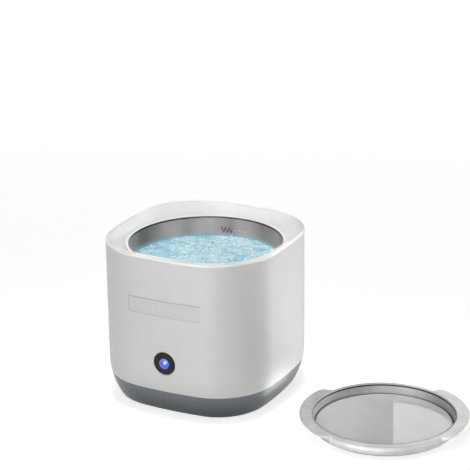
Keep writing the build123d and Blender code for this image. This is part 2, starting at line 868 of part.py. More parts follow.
def widest_edge(piece, z):
    """The widest round edge of a piece at height z."""
    rounds = piece.edges().filter_by(GeomType.CIRCLE).filter_by_position(Axis.Z, z - near, z + near)
    return rounds.sort_by(SortBy.RADIUS)[-1]


def lid_ring():
    """Pressed ring: floor ledge, sloping well wall and flat flange, with a skirt between two flat ears."""
    top = lid_height
    under = lid_height - lid_sheet
    skirt_foot = top - lid_skirt
    ledge_radius = lid_floor_radius - lid_ledge
    pan = spin(profile([
        (ledge_radius, 0), (lid_floor_radius + lid_sheet, 0), (lid_well_radius + lid_sheet, under),
        (lid_skirt_radius - lid_sheet, under), (lid_skirt_radius - lid_sheet, skirt_foot),
        (lid_skirt_radius, skirt_foot), (lid_skirt_radius, top), (lid_well_radius, top),
        (lid_floor_radius, lid_sheet), (ledge_radius, lid_sheet)]))
    pan = fillet(widest_edge(pan, top), lid_edge_radius)
    pan = fillet(widest_edge(pan, under), lid_edge_radius - lid_sheet)
    bend_radius = lid_skirt_radius - lid_edge_radius
    across = box(-ear_radius, ear_radius, -ear_half_width, ear_half_width, skirt_foot - past, top)
    pan -= pipe(lid_skirt_radius + past, bend_radius, skirt_foot - past, under) & across
    ears = pipe(ear_radius, bend_radius, under, top) & across
    corners = [edge for edge in ears.edges().filter_by(Axis.Z)
               if math.hypot(edge.center().X, edge.center().Y) > ear_radius - near]
    ears = fillet(corners, ear_corner_radius)
    return place_lid(pan + ears)


def window_seal_ring():
    radius = lid_floor_radius - window_clearance
    inner = lid_floor_radius - lid_ledge + window_clearance
    return place_lid(pipe(radius, inner, lid_sheet, lid_sheet + window_seal))


def lid_window():
    radius = lid_floor_radius - window_clearance
    low = lid_sheet + window_seal
    return place_lid(rod(radius, low, low + window_thickness))


# ---- Every sub-part under its own name ----
subparts = {
    "upper_housing": upper_housing(),
    "base_shell": base_shell(),
    "foot_ring": foot_ring(),
    "base_screws": base_screws(),
    "blank_label": blank_label(),
    "badge_plate": badge_plate(),
    "tank": tank(),
    "tank_gasket": tank_gasket(),
    "bond_layer": bond_layer(),
    "piezo_disc": piezo_disc(),
    "button_cap": button_cap(),
    "button_lens": button_lens(),
    "switch_plunger": switch_plunger(),
    "tactile_switch": tactile_switch(),
    "switch_board": switch_board(),
    "switch_board_screws": switch_board_screws(),
    "status_led": status_led(),
    "inlet_body": inlet_body(),
    "inlet_pin": inlet_pin(),
    "inlet_nut": inlet_nut(),
    "inlet_tabs": inlet_tabs(),
    "driver_board": driver_board(),
    "board_screws": board_screws(),
    "heat_sink": heat_sink(),
    "power_transistors": power_transistors(),
    "transformer_core": transformer_core(),
    "transformer_bobbin": transformer_bobbin(),
    "transformer_winding": transformer_winding(),
    "supply_capacitors": supply_capacitors(),
    "film_capacitors": film_capacitors(),
    "controller_chip": controller_chip(),
    "fuse_clips": fuse_clips(),
    "fuse": fuse(),
    "board_sockets": board_sockets(),
    "lead_plugs": lead_plugs(),
    "power_leads": power_leads(),
    "switch_leads": switch_leads(),
    "drive_leads": drive_leads(),
    "lid_ring": lid_ring(),
    "window_seal": window_seal_ring(),
    "lid_window": lid_window(),
}

os.makedirs("parts", exist_ok=True)
for name, shape in subparts.items():
    if isinstance(shape, list):
        shape = Compound(children=shape)
    export_step(shape, f"parts/{name}.step")
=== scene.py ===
"""Looks of the bench-top ultrasonic cleaner: its finishes, steel, glass, button, wash liquid and studio.

Sizes are in millimetres under the names below, and MM turns them to metres. +Z is up and the button faces -Y.
"""
import json
import math

import bmesh
import bpy
from mathutils import Matrix, Vector


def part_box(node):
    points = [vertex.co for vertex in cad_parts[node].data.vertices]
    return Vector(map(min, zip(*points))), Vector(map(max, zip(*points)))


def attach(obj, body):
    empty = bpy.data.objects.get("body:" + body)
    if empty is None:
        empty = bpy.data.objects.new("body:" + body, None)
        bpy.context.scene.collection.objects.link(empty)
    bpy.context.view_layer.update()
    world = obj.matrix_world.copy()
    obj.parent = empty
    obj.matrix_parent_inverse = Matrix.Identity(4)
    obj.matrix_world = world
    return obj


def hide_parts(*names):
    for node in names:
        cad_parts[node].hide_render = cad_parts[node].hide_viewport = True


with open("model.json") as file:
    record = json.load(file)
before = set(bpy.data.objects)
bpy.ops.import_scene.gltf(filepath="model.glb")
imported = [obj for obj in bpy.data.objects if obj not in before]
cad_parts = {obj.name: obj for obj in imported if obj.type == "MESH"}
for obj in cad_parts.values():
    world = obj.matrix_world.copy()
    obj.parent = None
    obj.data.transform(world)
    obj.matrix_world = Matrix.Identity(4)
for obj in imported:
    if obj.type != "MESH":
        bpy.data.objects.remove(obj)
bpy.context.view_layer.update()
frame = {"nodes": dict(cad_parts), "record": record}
nodes = frame["nodes"]
MM = 0.001

# ---- Sizes in millimetres, the part's own where it has them ----
body_half = 55.0
side_radius = 222.0         # of the housing's bowed sides
badge_sink = 0.2            # of the badge's field behind the wall
button_height = 34.0
button_radius = 6.8
button_face = 55.3          # distance in front of the middle
button_edge = 0.5
button_flange_radius = 8.2
button_flange_front = 52.25
button_flange_back = 51.25
lens_radius = 3.25
lens_dome = 0.89            # a hair inside the part's own
lens_gap = 0.05
lens_seat = 0.35            # bevel round the lens
lens_foot = 0.1             # straight side below the dome
tank_radius = 46.9
tank_sheet = 0.8
tank_floor = 41.9
tank_fillet = 8.0
rim_radius = 48.9
rim_top = 93.9
rim_roll = 0.45             # rounding of the rim's inner edge
rim_edge = 0.35             # and of its outer edge
liquid_level = 80.6
liquid_gap = 0.05           # to the tank's wall
liquid_side = 2.0           # straight side below its surface
spray_start = 0.2           # of the wet band above the liquid
spray_height = 3.4
lid_skirt_radius = 45.9
lid_well_radius = 41.9
lid_floor_radius = 41.0
lid_ledge_radius = 37.5
lid_height = 8.0
lid_sheet = 0.7
lid_skirt_foot = 2.9
lid_bend = 3.2              # outside of the bend from flange to skirt
lid_lip = 0.5               # rounding where the flange turns down into the well
sheet_edge = 0.3            # rounding of a cut edge
ear_radius = 49.98          # a hair inside the part's own
ear_half_width = 34.0
ear_corner = 7.0
ear_turn = 24.5
ear_run_out = 5.0           # degrees over which the sheet turns down beside an ear
window_low = 1.0
window_high = 2.0
window_radius = 40.8
glass_radius = 40.1         # the seal's lip shows round it
window_edge = 0.2
seal_low = 0.7
seal_inner = 37.7
seal_gap = 0.02             # to the glass
fine_edge = 0.1             # roundings of the small turned pieces
soft_edge = 0.2
lid_low, lid_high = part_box("lid_window")
lid_centre = Vector(((lid_low.x + lid_high.x) / 2, (lid_low.y + lid_high.y) / 2, 0)) / MM


# ---- Finishes ----
def linear(colour):
    """An sRGB hex colour as linear RGBA."""
    parts = [int(colour[n:n + 2], 16) / 255 for n in (0, 2, 4)]
    return [p / 12.92 if p <= 0.04045 else ((p + 0.055) / 1.055) ** 2.4 for p in parts] + [1.0]


def add(tree, kind, inputs=(), stops=(), **settings):
    """Add a node to a tree; an input that is another node's output is linked, any other is set.

    stops: the places and hex colours along a colour ramp, its lower and upper end first.
    """
    made = tree.nodes.new(kind)
    for name, value in settings.items():
        setattr(made, name, value)
    for n, (at, colour) in enumerate(stops):
        stop = made.color_ramp.elements[n] if n < 2 else made.color_ramp.elements.new(at)
        stop.position, stop.color = at, linear(colour)
    for key, value in dict(inputs).items():
        if isinstance(value, bpy.types.NodeSocket):
            tree.links.new(value, made.inputs[key])
        else:
            made.inputs[key].default_value = value
    return made


def finish(name, colour, roughness, **sockets):
    """A material with one Principled shader; returns the material, its tree and the shader."""
    material = bpy.data.materials.new(name)
    material.use_nodes = True
    tree = material.node_tree
    shader = tree.nodes["Principled BSDF"]
    shader.inputs["Base Color"].default_value = linear(colour)
    shader.inputs["Roughness"].default_value = roughness
    for key, value in sockets.items():
        shader.inputs[key.replace("_", " ")].default_value = value
    return material, tree, shader


def roughened(tree, shader, grain, bump_mm, rough):
    """Let a pattern of 0 to 1 spread a shader's roughness and raise a fine relief, where they are given."""
    if rough:
        spread = add(tree, "ShaderNodeMapRange", {"Value": grain, "To Min": rough[0], "To Max": rough[1]})
        tree.links.new(spread.outputs["Result"], shader.inputs["Roughness"])
    if bump_mm:
        relief = add(tree, "ShaderNodeBump", {"Height": grain, "Distance": bump_mm * MM})
        tree.links.new(relief.outputs["Normal"], shader.inputs["Normal"])


def mottled(made, dark, light, size_mm, bump_mm=0.0, rough=None, stretch=(1, 1, 1)):
    """Give a finish a cloudy pattern of two colours, size_mm across, and a fine relief from the same."""
    material, tree, shader = made
    place = add(tree, "ShaderNodeTexCoord").outputs["Object"]
    scaled = add(tree, "ShaderNodeMapping", {"Vector": place, "Scale": stretch}).outputs["Vector"]
    cloud = add(tree, "ShaderNodeTexNoise", {"Vector": scaled, "Scale": 1 / (size_mm * MM), "Detail": 3.0})
    ramp = add(tree, "ShaderNodeValToRGB", {"Fac": cloud.outputs["Fac"]}, ((0.35, dark), (0.65, light)))
    tree.links.new(ramp.outputs["Color"], shader.inputs["Base Color"])
    roughened(tree, shader, cloud.outputs["Fac"], bump_mm, rough)
    return material


def round_axis(tree, centre, across="XY"):
    """Object coordinates from a centre in mm: moved, split up, laid flat on two axes, and that length."""
    place = add(tree, "ShaderNodeTexCoord").outputs["Object"]
    moved = add(tree, "ShaderNodeMapping", {
        "Vector": place, "Location": -Vector(centre) * MM}).outputs["Vector"]
    split = add(tree, "ShaderNodeSeparateXYZ", {"Vector": moved}).outputs
    flat = add(tree, "ShaderNodeCombineXYZ", {axis: split[axis] for axis in across}).outputs["Vector"]
    reach = add(tree, "ShaderNodeVectorMath", {0: flat}, operation="LENGTH").outputs["Value"]
    return moved, split, flat, reach


def ring_lines(made, centre, dark, light, pitch_mm, bump_mm, rough):
    """Give a metal the fine rings that a turning brush leaves round a centre in mm, and soft blotches."""
    material, tree, shader = made
    blotch_mm = 9
    moved, split, _, reach = round_axis(tree, centre)
    line = add(tree, "ShaderNodeCombineXYZ", {"X": reach, "Z": split["Z"]}).outputs["Vector"]
    rings = add(tree, "ShaderNodeTexNoise", {"Vector": line, "Scale": 1 / (pitch_mm * MM), "Detail": 2.0})
    blotch = add(tree, "ShaderNodeTexNoise", {"Vector": moved, "Scale": 1 / (blotch_mm * MM), "Detail": 2.0})
    both = add(tree, "ShaderNodeMath", {0: rings.outputs["Fac"], 1: blotch.outputs["Fac"]}, operation="ADD")
    mean = add(tree, "ShaderNodeMath", {0: both.outputs["Value"], 1: 0.5}, operation="MULTIPLY")
    ramp = add(tree, "ShaderNodeValToRGB", {"Fac": mean.outputs["Value"]}, ((0.38, dark), (0.62, light)))
    tree.links.new(ramp.outputs["Color"], shader.inputs["Base Color"])
    roughened(tree, shader, rings.outputs["Fac"], bump_mm, rough)
    return material


# Pearl-white ABS, moulded in a polished tool: an even, softly shining white with a trace of orange peel.
pearl_white = mottled(finish("pearl_white_abs", "f0f0ef", 0.46, Metallic=0.25), "efefee", "f1f1f0", 6,
                      bump_mm=0.0008, rough=(0.44, 0.5))
# Grey ABS with metal flake under a clear skin: darker, and much brighter where it turns to the light. The
# flake is drawn coarser than real flake, so that it shows.
flake_grey = mottled(finish("metal_flake_grey_abs", "70767a", 0.34, Metallic=0.45), "6c7276", "787e82", 0.5,
                     bump_mm=0.003, rough=(0.3, 0.38))
# Painted shade and light: the grey is painted darker towards the foot, where the table shades it, and paler
# up by the split.
foot_height, split_height = 3 * MM, 17 * MM
painted_foot_shade, painted_split_light = 0.42, 1.12
tree = flake_grey.node_tree
colour = tree.nodes["Principled BSDF"].inputs["Base Color"]
place = add(tree, "ShaderNodeTexCoord").outputs["Object"]
height = add(tree, "ShaderNodeSeparateXYZ", {"Vector": place}).outputs["Z"]
# Painted shade by the table and painted light by the split, as a scale on the colour.
tone = add(tree, "ShaderNodeMapRange", {"Value": height, "From Min": foot_height, "From Max": split_height,
                                        "To Min": painted_foot_shade, "To Max": painted_split_light}).outputs["Result"]
shaded_flake = add(tree, "ShaderNodeVectorMath", {0: colour.links[0].from_socket, "Scale": tone}, operation="SCALE")
tree.links.new(shaded_flake.outputs["Vector"], colour)
# Deep-drawn stainless steel, satin polished round the axis: fine rings that spread each reflection, drawn
# coarser than real ones, so that they show.
drawn_steel = ring_lines(finish("drawn_stainless_steel", "ead2ca", 0.36, Metallic=1.0), (0, 0, 0),
                         "e4ccc4", "f0d8d0", 0.5, 0.002, (0.32, 0.4))
# Painted reflections: broad upright dark bands stand for what the wall reflects; its rim has a painted
# highlight, with a painted shadow line just below. The places of the shadow line and of the highlight are
# shares of the rim's zone.
painted_band_width = 20 * MM
painted_band_shift = Vector((81, 144, 0)) * MM    # puts the dark streaks in their places
rim_zone = 3 * MM           # below the rim's top
tree = drawn_steel.node_tree
colour = tree.nodes["Principled BSDF"].inputs["Base Color"]
place = add(tree, "ShaderNodeTexCoord").outputs["Object"]
split = add(tree, "ShaderNodeSeparateXYZ", {"Vector": place}).outputs
flat = add(tree, "ShaderNodeMapping", {
    "Vector": place, "Location": painted_band_shift, "Scale": (1, 1, 0)}).outputs["Vector"]
# Painted reflection: dark upright bands round the wall.
painted_band = add(tree, "ShaderNodeTexNoise", {
    "Vector": flat, "Scale": 1 / painted_band_width, "Detail": 1.0}).outputs["Fac"]
painted_band = add(tree, "ShaderNodeValToRGB", {"Fac": painted_band}, (
    (0.28, "aaaaaa"), (0.6, "ffffff"))).outputs["Color"]
# Painted shadow line just below the rim, and a painted highlight on the rim.
height = add(tree, "ShaderNodeMapRange", {
    "Value": split["Z"], "From Min": rim_top * MM - rim_zone, "From Max": rim_top * MM}).outputs["Result"]
painted_rim_shadow = add(tree, "ShaderNodeValToRGB", {"Fac": height}, (
    (0.4, "ffffff"), (0.88, "ffffff"), (0.5, "707070"), (0.78, "707070"))).outputs["Color"]
painted_rim_highlight = add(tree, "ShaderNodeMapRange", {
    "Value": height, "From Min": 0.82, "From Max": 0.9}).outputs["Result"]
steel = colour.links[0].from_socket
for shade in (painted_band, painted_rim_shadow):
    steel = add(tree, "ShaderNodeMix", {0: 1.0, 6: steel, 7: shade}, data_type="RGBA",
                blend_type="MULTIPLY").outputs[2]
steel = add(tree, "ShaderNodeMix", {0: painted_rim_highlight, 6: steel, 7: linear("f4f4f2")}, data_type="RGBA").outputs[2]
# A laser-etched fill mark: a dark wave, and a pale level line beside it.
wave_level, wave_length, wave_swing, wave_stroke, line_level = (n * MM for n in (84.6, 2.45, 1.3, 0.9, 84.7))
turn = add(tree, "ShaderNodeMath", {0: split["Y"], 1: split["X"]}, operation="ARCTAN2").outputs[0]
wave = add(tree, "ShaderNodeMath", {
    0: turn, 1: math.tau * tank_radius * MM / wave_length}, operation="MULTIPLY")
wave = add(tree, "ShaderNodeMath", {0: wave.outputs[0]}, operation="SINE")
wave = add(tree, "ShaderNodeMath", {
    0: wave.outputs[0], 1: wave_swing, 2: wave_level}, operation="MULTIPLY_ADD")
wave = add(tree, "ShaderNodeMath", {0: split["Z"], 1: wave.outputs[0], 2: wave_stroke}, operation="COMPARE")
# Of each mark: its middle and half its width in degrees, level, half its height, colour, cover and pattern.
for at, half, level, tall, ink, cover, pattern in (
        (101.5, 4.5, wave_level, 2.8 * MM, "3a3634", 0.8, wave.outputs[0]),
        (90.7, 6.2, line_level, 0.3 * MM, "f0ece8", 0.9, 1.0)):
    mark = add(tree, "ShaderNodeMath", {
        0: turn, 1: math.radians(at), 2: math.radians(half)}, operation="COMPARE")
    along = add(tree, "ShaderNodeMath", {0: split["Z"], 1: level, 2: tall}, operation="COMPARE")
    for limit in (along.outputs[0], pattern, cover):
        mark = add(tree, "ShaderNodeMath", {0: mark.outputs[0], 1: limit}, operation="MULTIPLY")
    steel = add(tree, "ShaderNodeMix", {
        0: mark.outputs[0], 6: steel, 7: linear(ink)}, data_type="RGBA").outputs[2]
# Spray wets the wall just above the liquid and takes on its blue.
spray_cover = 0.65
wet = add(tree, "ShaderNodeMapRange", {
    "Value": split["Z"], "From Min": (liquid_level + spray_start) * MM,
    "From Max": (liquid_level + spray_height) * MM, "To Min": spray_cover, "To Max": 0.0},
    interpolation_type="SMOOTHSTEP").outputs["Result"]
steel = add(tree, "ShaderNodeMix", {0: wet, 6: steel, 7: linear("b4dbe6")}, data_type="RGBA").outputs[2]
tree.links.new(steel, colour)
# Pressed stainless sheet, brushed in rings on a turntable: pale, with faint rings in the flange, drawn
# coarser than real ones, so that they show.
brushed_steel = ring_lines(finish("ring_brushed_stainless_steel", "cfcfcd", 0.36, Metallic=1.0), lid_centre,
                           "c8c8c6", "dcdcda", 0.35, 0.004, (0.3, 0.42))
# Its pressed walls are left duller than the brushed flange, and painted darker as shade, the well's most of
# all; a painted shadow line runs round the top of the well.
well_reach, skirt_reach = 42.5 * MM, 43.5 * MM      # from the lid's middle, where the walls' tone changes
painted_well_shade, painted_skirt_shade = 0.66, 0.78
wall_dull, flange_dull = 0.2, 0.1       # added to the roughness
shade_start, dull_start, wall_top = 7.4 * MM, 7.6 * MM, 7.95 * MM    # heights
shadow_line_height, shadow_line_half, shadow_line_shade = 7.1 * MM, 0.5 * MM, 0.92
tree = brushed_steel.node_tree
colour, roughness = (tree.nodes["Principled BSDF"].inputs[name] for name in ("Base Color", "Roughness"))
_, split, _, reach = round_axis(tree, lid_centre)
# Painted shade: the walls' colour is scaled down, the well's most of all.
painted_wall_shade = add(tree, "ShaderNodeMapRange", {"Value": reach, "From Min": well_reach, "From Max": skirt_reach,
                                             "To Min": painted_well_shade, "To Max": painted_skirt_shade}).outputs["Result"]
painted_shading = add(tree, "ShaderNodeMapRange", {
    "Value": split["Z"], "From Min": shade_start, "From Max": wall_top, "To Min": painted_wall_shade}).outputs["Result"]
# Painted shadow line round the top of the well.
line = add(tree, "ShaderNodeMath", {
    0: split["Z"], 1: shadow_line_height, 2: shadow_line_half}, operation="COMPARE").outputs[0]
inside = add(tree, "ShaderNodeMath", {
    0: reach, 1: (well_reach + skirt_reach) / 2}, operation="LESS_THAN").outputs[0]
line = add(tree, "ShaderNodeMath", {0: line, 1: inside}, operation="MULTIPLY").outputs[0]
line = add(tree, "ShaderNodeMath", {0: line, 1: -shadow_line_shade, 2: 1.0}, operation="MULTIPLY_ADD").outputs[0]
painted_shading = add(tree, "ShaderNodeMath", {0: painted_shading, 1: line}, operation="MULTIPLY").outputs[0]
walls = add(tree, "ShaderNodeVectorMath", {
    0: colour.links[0].from_socket, "Scale": painted_shading}, operation="SCALE")
tree.links.new(walls.outputs["Vector"], colour)
dull = add(tree, "ShaderNodeMapRange", {"Value": split["Z"], "From Min": dull_start, "From Max": wall_top,
                                        "To Min": wall_dull, "To Max": flange_dull}).outputs["Result"]
duller = add(tree, "ShaderNodeMath", {0: roughness.links[0].from_socket, 1: dull}, operation="ADD").outputs[0]
tree.links.new(duller, roughness)
# Toughened soda-lime glass with a satin underside: milky, a little green, mirror-smooth with faint wipe
# marks on top. A clear coat over it stands for the gloss of its second face.
window_glass = mottled(finish("toughened_glass", "f6faf8", 0.02, IOR=1.52, Transmission_Weight=0.22,
                              Coat_Weight=1.0, Coat_IOR=2.0, Coat_Roughness=0.02), "f3f8f6", "f8fbfa", 12,
                       rough=(0.015, 0.03))
# Matt black ABS of the push button: near-black, fine spark-eroded grain that lifts grey in side light. The
# grain is drawn coarser than real grain, so that it shows.
matt_black = mottled(finish("matt_black_abs", "171716", 0.42, Specular_IOR_Level=0.25), "141413", "1d1d1c",
                     0.4, bump_mm=0.01, rough=(0.36, 0.5))
# Silicone rubber: dark grey, soft edged, no gloss.
silicone = mottled(finish("silicone_rubber", "3e4143", 0.6), "393c3e", "44474a", 2, bump_mm=0.005,
                   rough=(0.55, 0.7))
# Moulded nitrile rubber of the foot: dark grey, dull, slightly dusty.
foot_rubber = mottled(finish("nitrile_rubber", "2b2c2d", 0.8), "262728", "343536", 3, bump_mm=0.01,
                      rough=(0.7, 0.9))
# Matt polyester label film, not printed.
label_film = mottled(finish("polyester_film", "c9cbcc", 0.55), "c4c6c7", "cfd1d2", 4, bump_mm=0.002,
                     rough=(0.5, 0.6))

finishes = {
    # Zinc-plated steel: cold grey with a faint blue bloom.
    "screw_steel": mottled(finish("zinc_plated_steel", "b7bcc0", 0.32, Metallic=1.0), "a9afb4", "c3c7ca", 1,
                           rough=(0.28, 0.42)),
    # Cured two-part epoxy: amber, slightly glossy, with soft clouds of filler.
    "epoxy": mottled(finish("cured_epoxy", "b8a070", 0.35), "ac9464", "c4ad7e", 3, bump_mm=0.01,
                     rough=(0.3, 0.45)),
    # Fired silver electrode on lead-zirconate ceramic: pale, dull silver over a fine grain.
    "piezo_ceramic": mottled(finish("silvered_ceramic", "cfcbc2", 0.5, Metallic=0.6), "c4c0b6", "d8d5cd", 0.6,
                             bump_mm=0.004, rough=(0.45, 0.6)),
    # Nylon housing of the switch: black, satin.
    "switch_plastic": mottled(finish("satin_black_nylon", "28282a", 0.5), "232325", "303032", 0.5,
                              bump_mm=0.006, rough=(0.45, 0.6)),
    # Glass-epoxy laminate under green solder mask: the weave shows as a faint check.
    "board_laminate": mottled(finish("solder_masked_laminate", "1f6b3d", 0.35), "1b6138", "257546", 0.9,
                              bump_mm=0.004, rough=(0.3, 0.42)),
    # Water-clear epoxy body of the lamp, tinted blue.
    "led_epoxy": mottled(finish("tinted_clear_epoxy", "9fc4ff", 0.12, Transmission_Weight=0.6, IOR=1.53),
                         "95bcfa", "a9ccff", 1.5, rough=(0.1, 0.16)),
    # Glass-filled nylon of the inlet: black with a slight grey bloom from the fibres.
    "inlet_nylon": mottled(finish("glass_filled_nylon", "1e1f20", 0.55), "1a1b1c", "292a2b", 0.7,
                           bump_mm=0.008, rough=(0.48, 0.62)),
    # Turned brass, nickel flashed and a little dull.
    "contact_brass": mottled(finish("turned_brass", "c8b878", 0.3, Metallic=1.0), "bcaa68", "d2c488", 1,
                             rough=(0.25, 0.38)),
    # Extruded aluminium: pale grey, die lines along the height.
    "sink_aluminium": mottled(finish("extruded_aluminium", "bfc1c3", 0.4, Metallic=1.0), "b2b4b6", "cacccd",
                              0.8, bump_mm=0.01, rough=(0.35, 0.5), stretch=(1, 1, 0.04)),
    # Moulded epoxy of a chip or transistor: charcoal, matt.
    "chip_epoxy": mottled(finish("moulded_epoxy", "2a2a2b", 0.6), "242425", "323233", 0.5, bump_mm=0.005,
                          rough=(0.55, 0.7)),
    # Sintered ferrite: dark brown-grey and grainy.
    "ferrite": mottled(finish("sintered_ferrite", "3c3836", 0.55), "34302f", "474240", 0.5, bump_mm=0.01,
                       rough=(0.5, 0.65)),
    # Natural nylon of the bobbin: ivory, waxy.
    "bobbin_nylon": mottled(finish("natural_nylon", "dcd6c4", 0.4, Subsurface_Weight=0.1), "d4cdb9",
                            "e3decf", 3, bump_mm=0.004, rough=(0.36, 0.46)),
    # Enamelled copper wire in close turns: orange-brown, ribbed along the height.
    "winding_copper": mottled(finish("enamelled_copper", "a85a2c", 0.28, Metallic=0.8), "8f4820", "c4713c",
                              0.6, bump_mm=0.08, rough=(0.22, 0.36), stretch=(0.03, 0.03, 1)),
    # Shrunk PVC sleeve of the electrolytic capacitors: dark blue, glossy.
    "capacitor_sleeve": mottled(finish("shrunk_vinyl_sleeve", "1f2a4a", 0.3), "1b2542", "263356", 2,
                                bump_mm=0.006, rough=(0.25, 0.35)),
    # Dipped epoxy case of the film capacitors: dull orange-red.
    "capacitor_case": mottled(finish("dipped_epoxy_case", "a8402a", 0.4), "9b3824", "b54c34", 1.5,
                              bump_mm=0.02, rough=(0.35, 0.5)),
    # Glass tube of the fuse, slightly smoked.
    "fuse_glass": mottled(finish("fuse_glass_tube", "c9cfd0", 0.08, Transmission_Weight=0.7, IOR=1.5),
                          "c0c7c8", "d2d8d9", 2, rough=(0.06, 0.12)),
    # Nylon of the cable sockets: off-white, satin.
    "socket_nylon": mottled(finish("satin_white_nylon", "dedcd2", 0.45), "d6d4c9", "e5e3da", 1.5,
                            bump_mm=0.004, rough=(0.4, 0.5)),
    # PVC insulation of the leads: red-brown, soft gloss.
    "lead_insulation": mottled(finish("lead_vinyl", "8a2a24", 0.45), "7e251f", "97322b", 2, bump_mm=0.004,
                               rough=(0.4, 0.5)),
    # The finishes made above, under the part's own names.
    "foot_rubber": foot_rubber,
    "label_film": label_film,
    "silicone": silicone,
    "housing_abs": pearl_white,
    "base_abs": flake_grey,
    "button_abs": matt_black,
    "tank_steel": drawn_steel,
    "lid_steel": brushed_steel,
    "window_glass": window_glass,
}


# Polycarbonate lens lit from behind: deep blue and paler towards its rim, with a painted highlight glowing up
# and right of its middle.
painted_highlight_at = Vector((1.0, 0, 0.9)) * MM        # from the lens's middle
highlight_core, highlight_halo = 0.2 * MM, 1.6 * MM
lens_glow = 0.8
lit_blue, tree, shader = finish("lit_blue_polycarbonate", "1a2f8c", 0.08, IOR=1.58, Coat_Weight=0.6)
_, _, face, reach = round_axis(tree, (0, 0, button_height), "XZ")
share = add(tree, "ShaderNodeMapRange", {"Value": reach, "From Max": lens_radius * MM}).outputs["Result"]
glow = add(tree, "ShaderNodeValToRGB", {"Fac": share}, ((0, "2a5ee0"), (1, "5c74e8"), (0.6, "1c40cc")))
# Painted highlight: a pale cyan glow spot up and right of the lens's middle.
off = add(tree, "ShaderNodeVectorMath", {0: face, 1: painted_highlight_at}, operation="DISTANCE").outputs["Value"]
spot = add(tree, "ShaderNodeMapRange", {
    "Value": off, "From Min": highlight_core, "From Max": highlight_halo, "To Min": 1.0, "To Max": 0.0},
    interpolation_type="SMOOTHSTEP").outputs["Result"]
glow = add(tree, "ShaderNodeMix", {0: spot, 6: glow.outputs["Color"], 7: linear("b8f6ff")}, data_type="RGBA")
tree.links.new(glow.outputs[2], shader.inputs["Emission Color"])
shader.inputs["Emission Strength"].default_value = lens_glow
finishes["lens_polycarbonate"] = lit_blue

for entry in frame["record"]["subparts"]:
    skin_of = nodes[entry["node"]].data.materials
    skin_of.clear()
    skin_of.append(finishes[entry["material_slot"]])

# The badge's field is finely etched and painted a shade darker than its raised bars; a painted shadow line
# runs along its top edge.
etched_colour = "f0f0ef"
painted_field_shade, bar_lift, grain_lift, painted_edge_shadow = 0.93, 0.06, 0.03, 0.24
etch_grain, etch_relief_mm, edge_half = 0.6 * MM, 0.003, 0.55 * MM
badge_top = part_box("badge_plate")[1].z
etched_white, tree, shader = finish("etched_white_abs", etched_colour, 0.48, Metallic=0.25)
_, split, _, reach = round_axis(tree, (0, side_radius - body_half, 0))
raised = add(tree, "ShaderNodeMapRange", {
    "Value": reach, "From Min": (side_radius - badge_sink) * MM,
    "From Max": side_radius * MM}).outputs["Result"]
place = add(tree, "ShaderNodeTexCoord").outputs["Object"]
grain = add(tree, "ShaderNodeTexNoise", {
    "Vector": place, "Scale": 1 / etch_grain, "Detail": 2.0}).outputs["Fac"]
tone = add(tree, "ShaderNodeMath", {
    0: raised, 1: bar_lift, 2: painted_field_shade}, operation="MULTIPLY_ADD").outputs[0]
tone = add(tree, "ShaderNodeMath", {0: grain, 1: grain_lift, 2: tone}, operation="MULTIPLY_ADD").outputs[0]
# Painted shadow line along the badge's top edge.
line = add(tree, "ShaderNodeMath", {
    0: split["Z"], 1: badge_top, 2: edge_half}, operation="COMPARE").outputs[0]
line = add(tree, "ShaderNodeMath", {0: line, 1: -painted_edge_shadow, 2: 1.0}, operation="MULTIPLY_ADD").outputs[0]
tone = add(tree, "ShaderNodeMath", {0: tone, 1: line}, operation="MULTIPLY").outputs[0]
shade = add(tree, "ShaderNodeVectorMath", {0: linear(etched_colour)[:3], "Scale": tone}, operation="SCALE")
tree.links.new(shade.outputs["Vector"], shader.inputs["Base Color"])
roughened(tree, shader, grain, etch_relief_mm, None)
nodes["badge_plate"].data.materials[0] = etched_white

# Water with a blue tablet in it, stirred white by fine bubbles: pale cyan, deeper troughs and white flecks.
cloud_width, fleck_width = 7 * MM, 2.4 * MM
wash_water, tree, shader = finish("tinted_wash_water", "9ad4e8", 0.12, IOR=1.33)
place = add(tree, "ShaderNodeTexCoord").outputs["Object"]
cloud = add(tree, "ShaderNodeTexNoise", {
    "Vector": place, "Scale": 1 / cloud_width, "Detail": 3.0, "Distortion": 1.0})
tint = add(tree, "ShaderNodeValToRGB", {"Fac": cloud.outputs["Fac"]}, ((0.32, "7ccae2"), (0.66, "cdf0f7")))
fleck = add(tree, "ShaderNodeTexNoise", {
    "Vector": place, "Scale": 1 / fleck_width, "Detail": 2.0, "Roughness": 0.7})
fleck = add(tree, "ShaderNodeMapRange", {"Value": fleck.outputs["Fac"], "From Min": 0.55, "From Max": 0.67})
foam = add(tree, "ShaderNodeMix", {0: fleck.outputs["Result"], 6: tint.outputs["Color"], 7: linear("f2fbff")},
           data_type="RGBA")
tree.links.new(foam.outputs[2], shader.inputs["Base Color"])
# Thin skins of the bubbles: white, wet and glossy.
bubble_skin = mottled(finish("bubble_skin", "e2f5fb", 0.05, IOR=1.33), "d2effa", "f2fcff", 0.8,
                      rough=(0.04, 0.1))


# ---- Mesh and node tree helpers ----
def put_in(name, data):
    """A new object in the scene."""
    thing = bpy.data.objects.new(name, data)
    bpy.context.scene.collection.objects.link(thing)
    return thing


